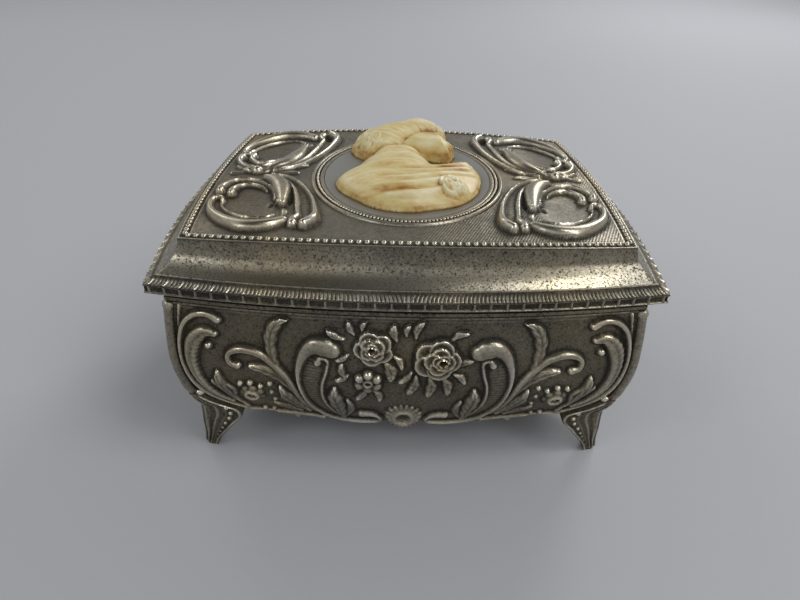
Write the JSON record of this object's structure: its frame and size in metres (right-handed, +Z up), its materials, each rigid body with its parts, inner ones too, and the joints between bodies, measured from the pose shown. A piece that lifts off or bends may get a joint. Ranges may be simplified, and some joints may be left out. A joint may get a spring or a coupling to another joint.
{
  "type": "vanity trinket box",
  "caption": "Footed cast-metal trinket box with bulging floral relief walls, velvet lining and a hinged domed lid with a gadrooned rim and an oval relief cameo.",
  "frame": {"origin": "middle of the footprint, on the surface that the feet stand on", "axes": "+X is the width to the right, +Y runs from the front to the hinged back, +Z is up"},
  "size_m": [0.1142, 0.0918, 0.0686],
  "materials": {
    "antique_silver": "antiqued silver plate over cast white metal, dark patina in the recesses",
    "bottom_plate_metal": "plain dull sheet metal",
    "hinge_metal": "plain aged plated metal",
    "ivory_resin": "satin cast resin with brown patina in the folds",
    "cameo_ground": "smooth grey satin lacquer",
    "velvet": "short-pile velvet"
  },
  "bodies": {
    "box": {"body_shell": "antique_silver", "bottom_plate": "bottom_plate_metal", "front_left_foot": "antique_silver", "front_right_foot": "antique_silver", "back_left_foot": "antique_silver", "back_right_foot": "antique_silver", "velvet_floor_pad": "velvet", "front_wall_lining": "velvet", "back_wall_lining": "velvet", "left_wall_lining": "velvet", "right_wall_lining": "velvet", "body_hinge_leaf_left": "hinge_metal", "body_hinge_leaf_right": "hinge_metal", "hinge_pin_left": "hinge_metal", "hinge_pin_right": "hinge_metal", "body_hinge_rivets": "hinge_metal"},
    "lid": {"lid_shell": "antique_silver", "lid_lining_pad": "velvet", "cameo_bezel": "antique_silver", "cameo_backplate": "cameo_ground", "cameo_figure": "ivory_resin", "lid_hinge_leaf_left": "hinge_metal", "lid_hinge_leaf_right": "hinge_metal", "lid_hinge_rivets": "hinge_metal"}
  },
  "joints": [
    {"name": "lid_hinge", "type": "hinge", "parent": "box", "child": "lid", "pos_m": [0, 0.0437, 0.0473], "axis": [-1, 0, 0], "range_deg": [0, 100]}
  ]
}
